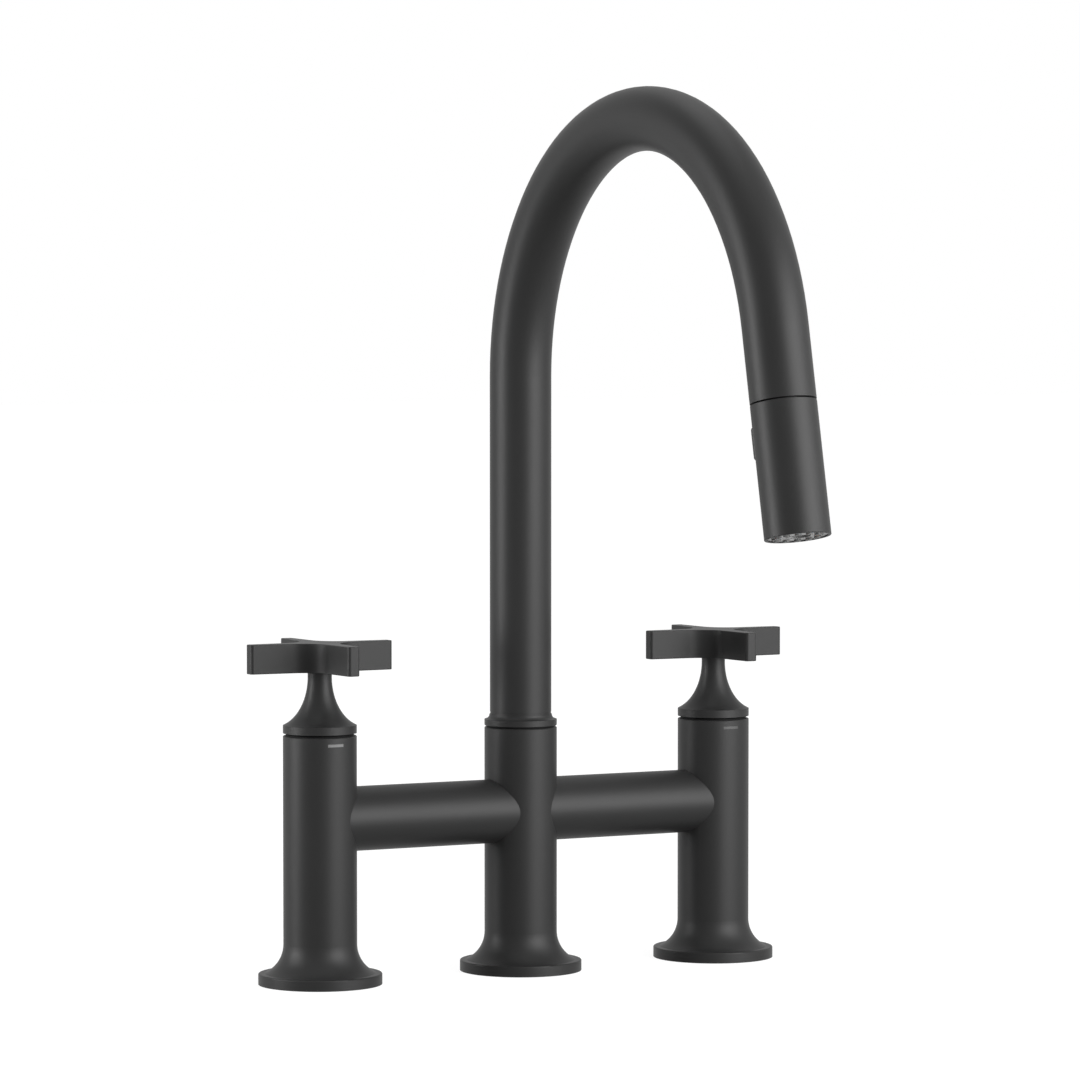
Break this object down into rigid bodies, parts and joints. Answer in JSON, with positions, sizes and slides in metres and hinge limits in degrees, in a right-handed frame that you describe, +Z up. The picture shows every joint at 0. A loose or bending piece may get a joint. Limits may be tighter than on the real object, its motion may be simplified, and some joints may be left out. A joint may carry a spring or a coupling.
{
  "type": "bridge kitchen faucet",
  "caption": "Bridge kitchen faucet with three columns on a bridge, two cross handles, a swivelling gooseneck spout and a pull-out spray head, in satin black.",
  "frame": {"origin": "middle of the centre column's foot, on the deck", "axes": "+Z up, X along the bridge with the cold handle at +X, the spout reaches towards -Y"},
  "size_m": [0.2732, 0.2907, 0.4937],
  "materials": {
    "black_finish": "satin black coating over brass",
    "brass": "machined brass",
    "steel": "stainless steel",
    "black_steel": "black-oxide steel",
    "rubber": "black rubber",
    "silicone": "grey silicone",
    "black_plastic": "black acetal",
    "grey_plastic": "grey moulded plastic",
    "white_plastic": "white acetal",
    "ceramic": "lapped alumina ceramic",
    "magnet": "nickelled ring magnet",
    "copper": "copper tube",
    "hose_braid": "black nylon braid",
    "pale_mark": "pale grey enamel",
    "dark_mark": "dark grey enamel"
  },
  "bodies": {
    "base": {"left_column": "black_finish", "right_column": "black_finish", "centre_column": "black_finish", "left_bridge_tube": "black_finish", "right_bridge_tube": "black_finish", "bridge_nipples": "brass", "supply_shanks": "brass", "centre_shank": "brass", "foot_gaskets": "rubber", "supply_rubber_washer": "rubber", "centre_rubber_washer": "rubber", "supply_steel_washer": "steel", "centre_steel_washer": "steel", "supply_lock_nut": "brass", "centre_lock_nut": "brass", "left_cartridge_housing": "brass", "right_cartridge_housing": "brass", "fixed_ceramic_discs": "ceramic", "seat_seals": "rubber", "cartridge_o_rings": "rubber", "left_index_mark": "pale_mark", "right_index_mark": "dark_mark", "mixed_outlet_pipe": "copper", "hose_guide_bush": "black_plastic", "spout_glide_ring": "black_plastic", "spout_lock_screw": "black_steel"},
    "left_handle": {"left_handle_cross": "black_finish", "left_handle_neck": "black_finish", "left_handle_screw": "black_steel", "left_valve_spindle": "brass", "left_moving_disc": "ceramic", "left_stem_o_rings": "rubber"},
    "right_handle": {"right_handle_cross": "black_finish", "right_handle_neck": "black_finish", "right_handle_screw": "black_steel", "right_valve_spindle": "brass", "right_moving_disc": "ceramic", "right_stem_o_rings": "rubber"},
    "spout": {"spout_tube": "black_finish", "spout_collar": "black_finish", "spout_spigot": "brass", "spigot_o_rings": "rubber", "dock_sleeve": "black_plastic", "dock_magnet": "magnet", "spray_hose": "hose_braid", "hose_coupling": "brass"},
    "hose_end": {"hose_tail": "hose_braid", "hose_ferrule": "steel", "hose_swivel": "brass"},
    "spray_head": {"spray_head_shell": "black_finish", "head_dock_ring": "black_steel", "head_waterway": "white_plastic", "check_valve": "white_plastic", "face_plate": "grey_plastic", "spray_nozzles": "silicone", "aerator": "grey_plastic", "button_spring": "steel"},
    "button": {"mode_button": "black_plastic", "diverter_plunger": "white_plastic"}
  },
  "joints": [
    {"name": "left_handle_turn", "type": "hinge", "parent": "base", "child": "left_handle", "pos_m": [-0.1016, 0, 0.12], "axis": [0, 0, 1], "range_deg": [0, 90]},
    {"name": "right_handle_turn", "type": "hinge", "parent": "base", "child": "right_handle", "pos_m": [0.1016, 0, 0.12], "axis": [0, 0, 1], "range_deg": [-90, 0]},
    {"name": "spout_swivel", "type": "hinge", "parent": "base", "child": "spout", "pos_m": [0, 0, 0.112], "axis": [0, 0, 1], "continuous": true},
    {"name": "spray_head_pull", "type": "slide", "parent": "spout", "child": "hose_end", "axis": [0, -0.2079, -0.9781], "range_m": [0, 0.2], "stiffness_N_per_m": 8, "springref_m": -1, "deforming": ["hose_tail"]},
    {"name": "spray_head_turn", "type": "hinge", "parent": "hose_end", "child": "spray_head", "pos_m": [0, -0.23023, 0.2627], "axis": [0, -0.2079, -0.9781], "continuous": true},
    {"name": "button_press", "type": "slide", "parent": "spray_head", "child": "button", "axis": [0, -0.9781, 0.2079], "range_m": [0, 0.0016], "stiffness_N_per_m": 600, "springref_m": -0.004, "deforming": ["button_spring"]}
  ]
}
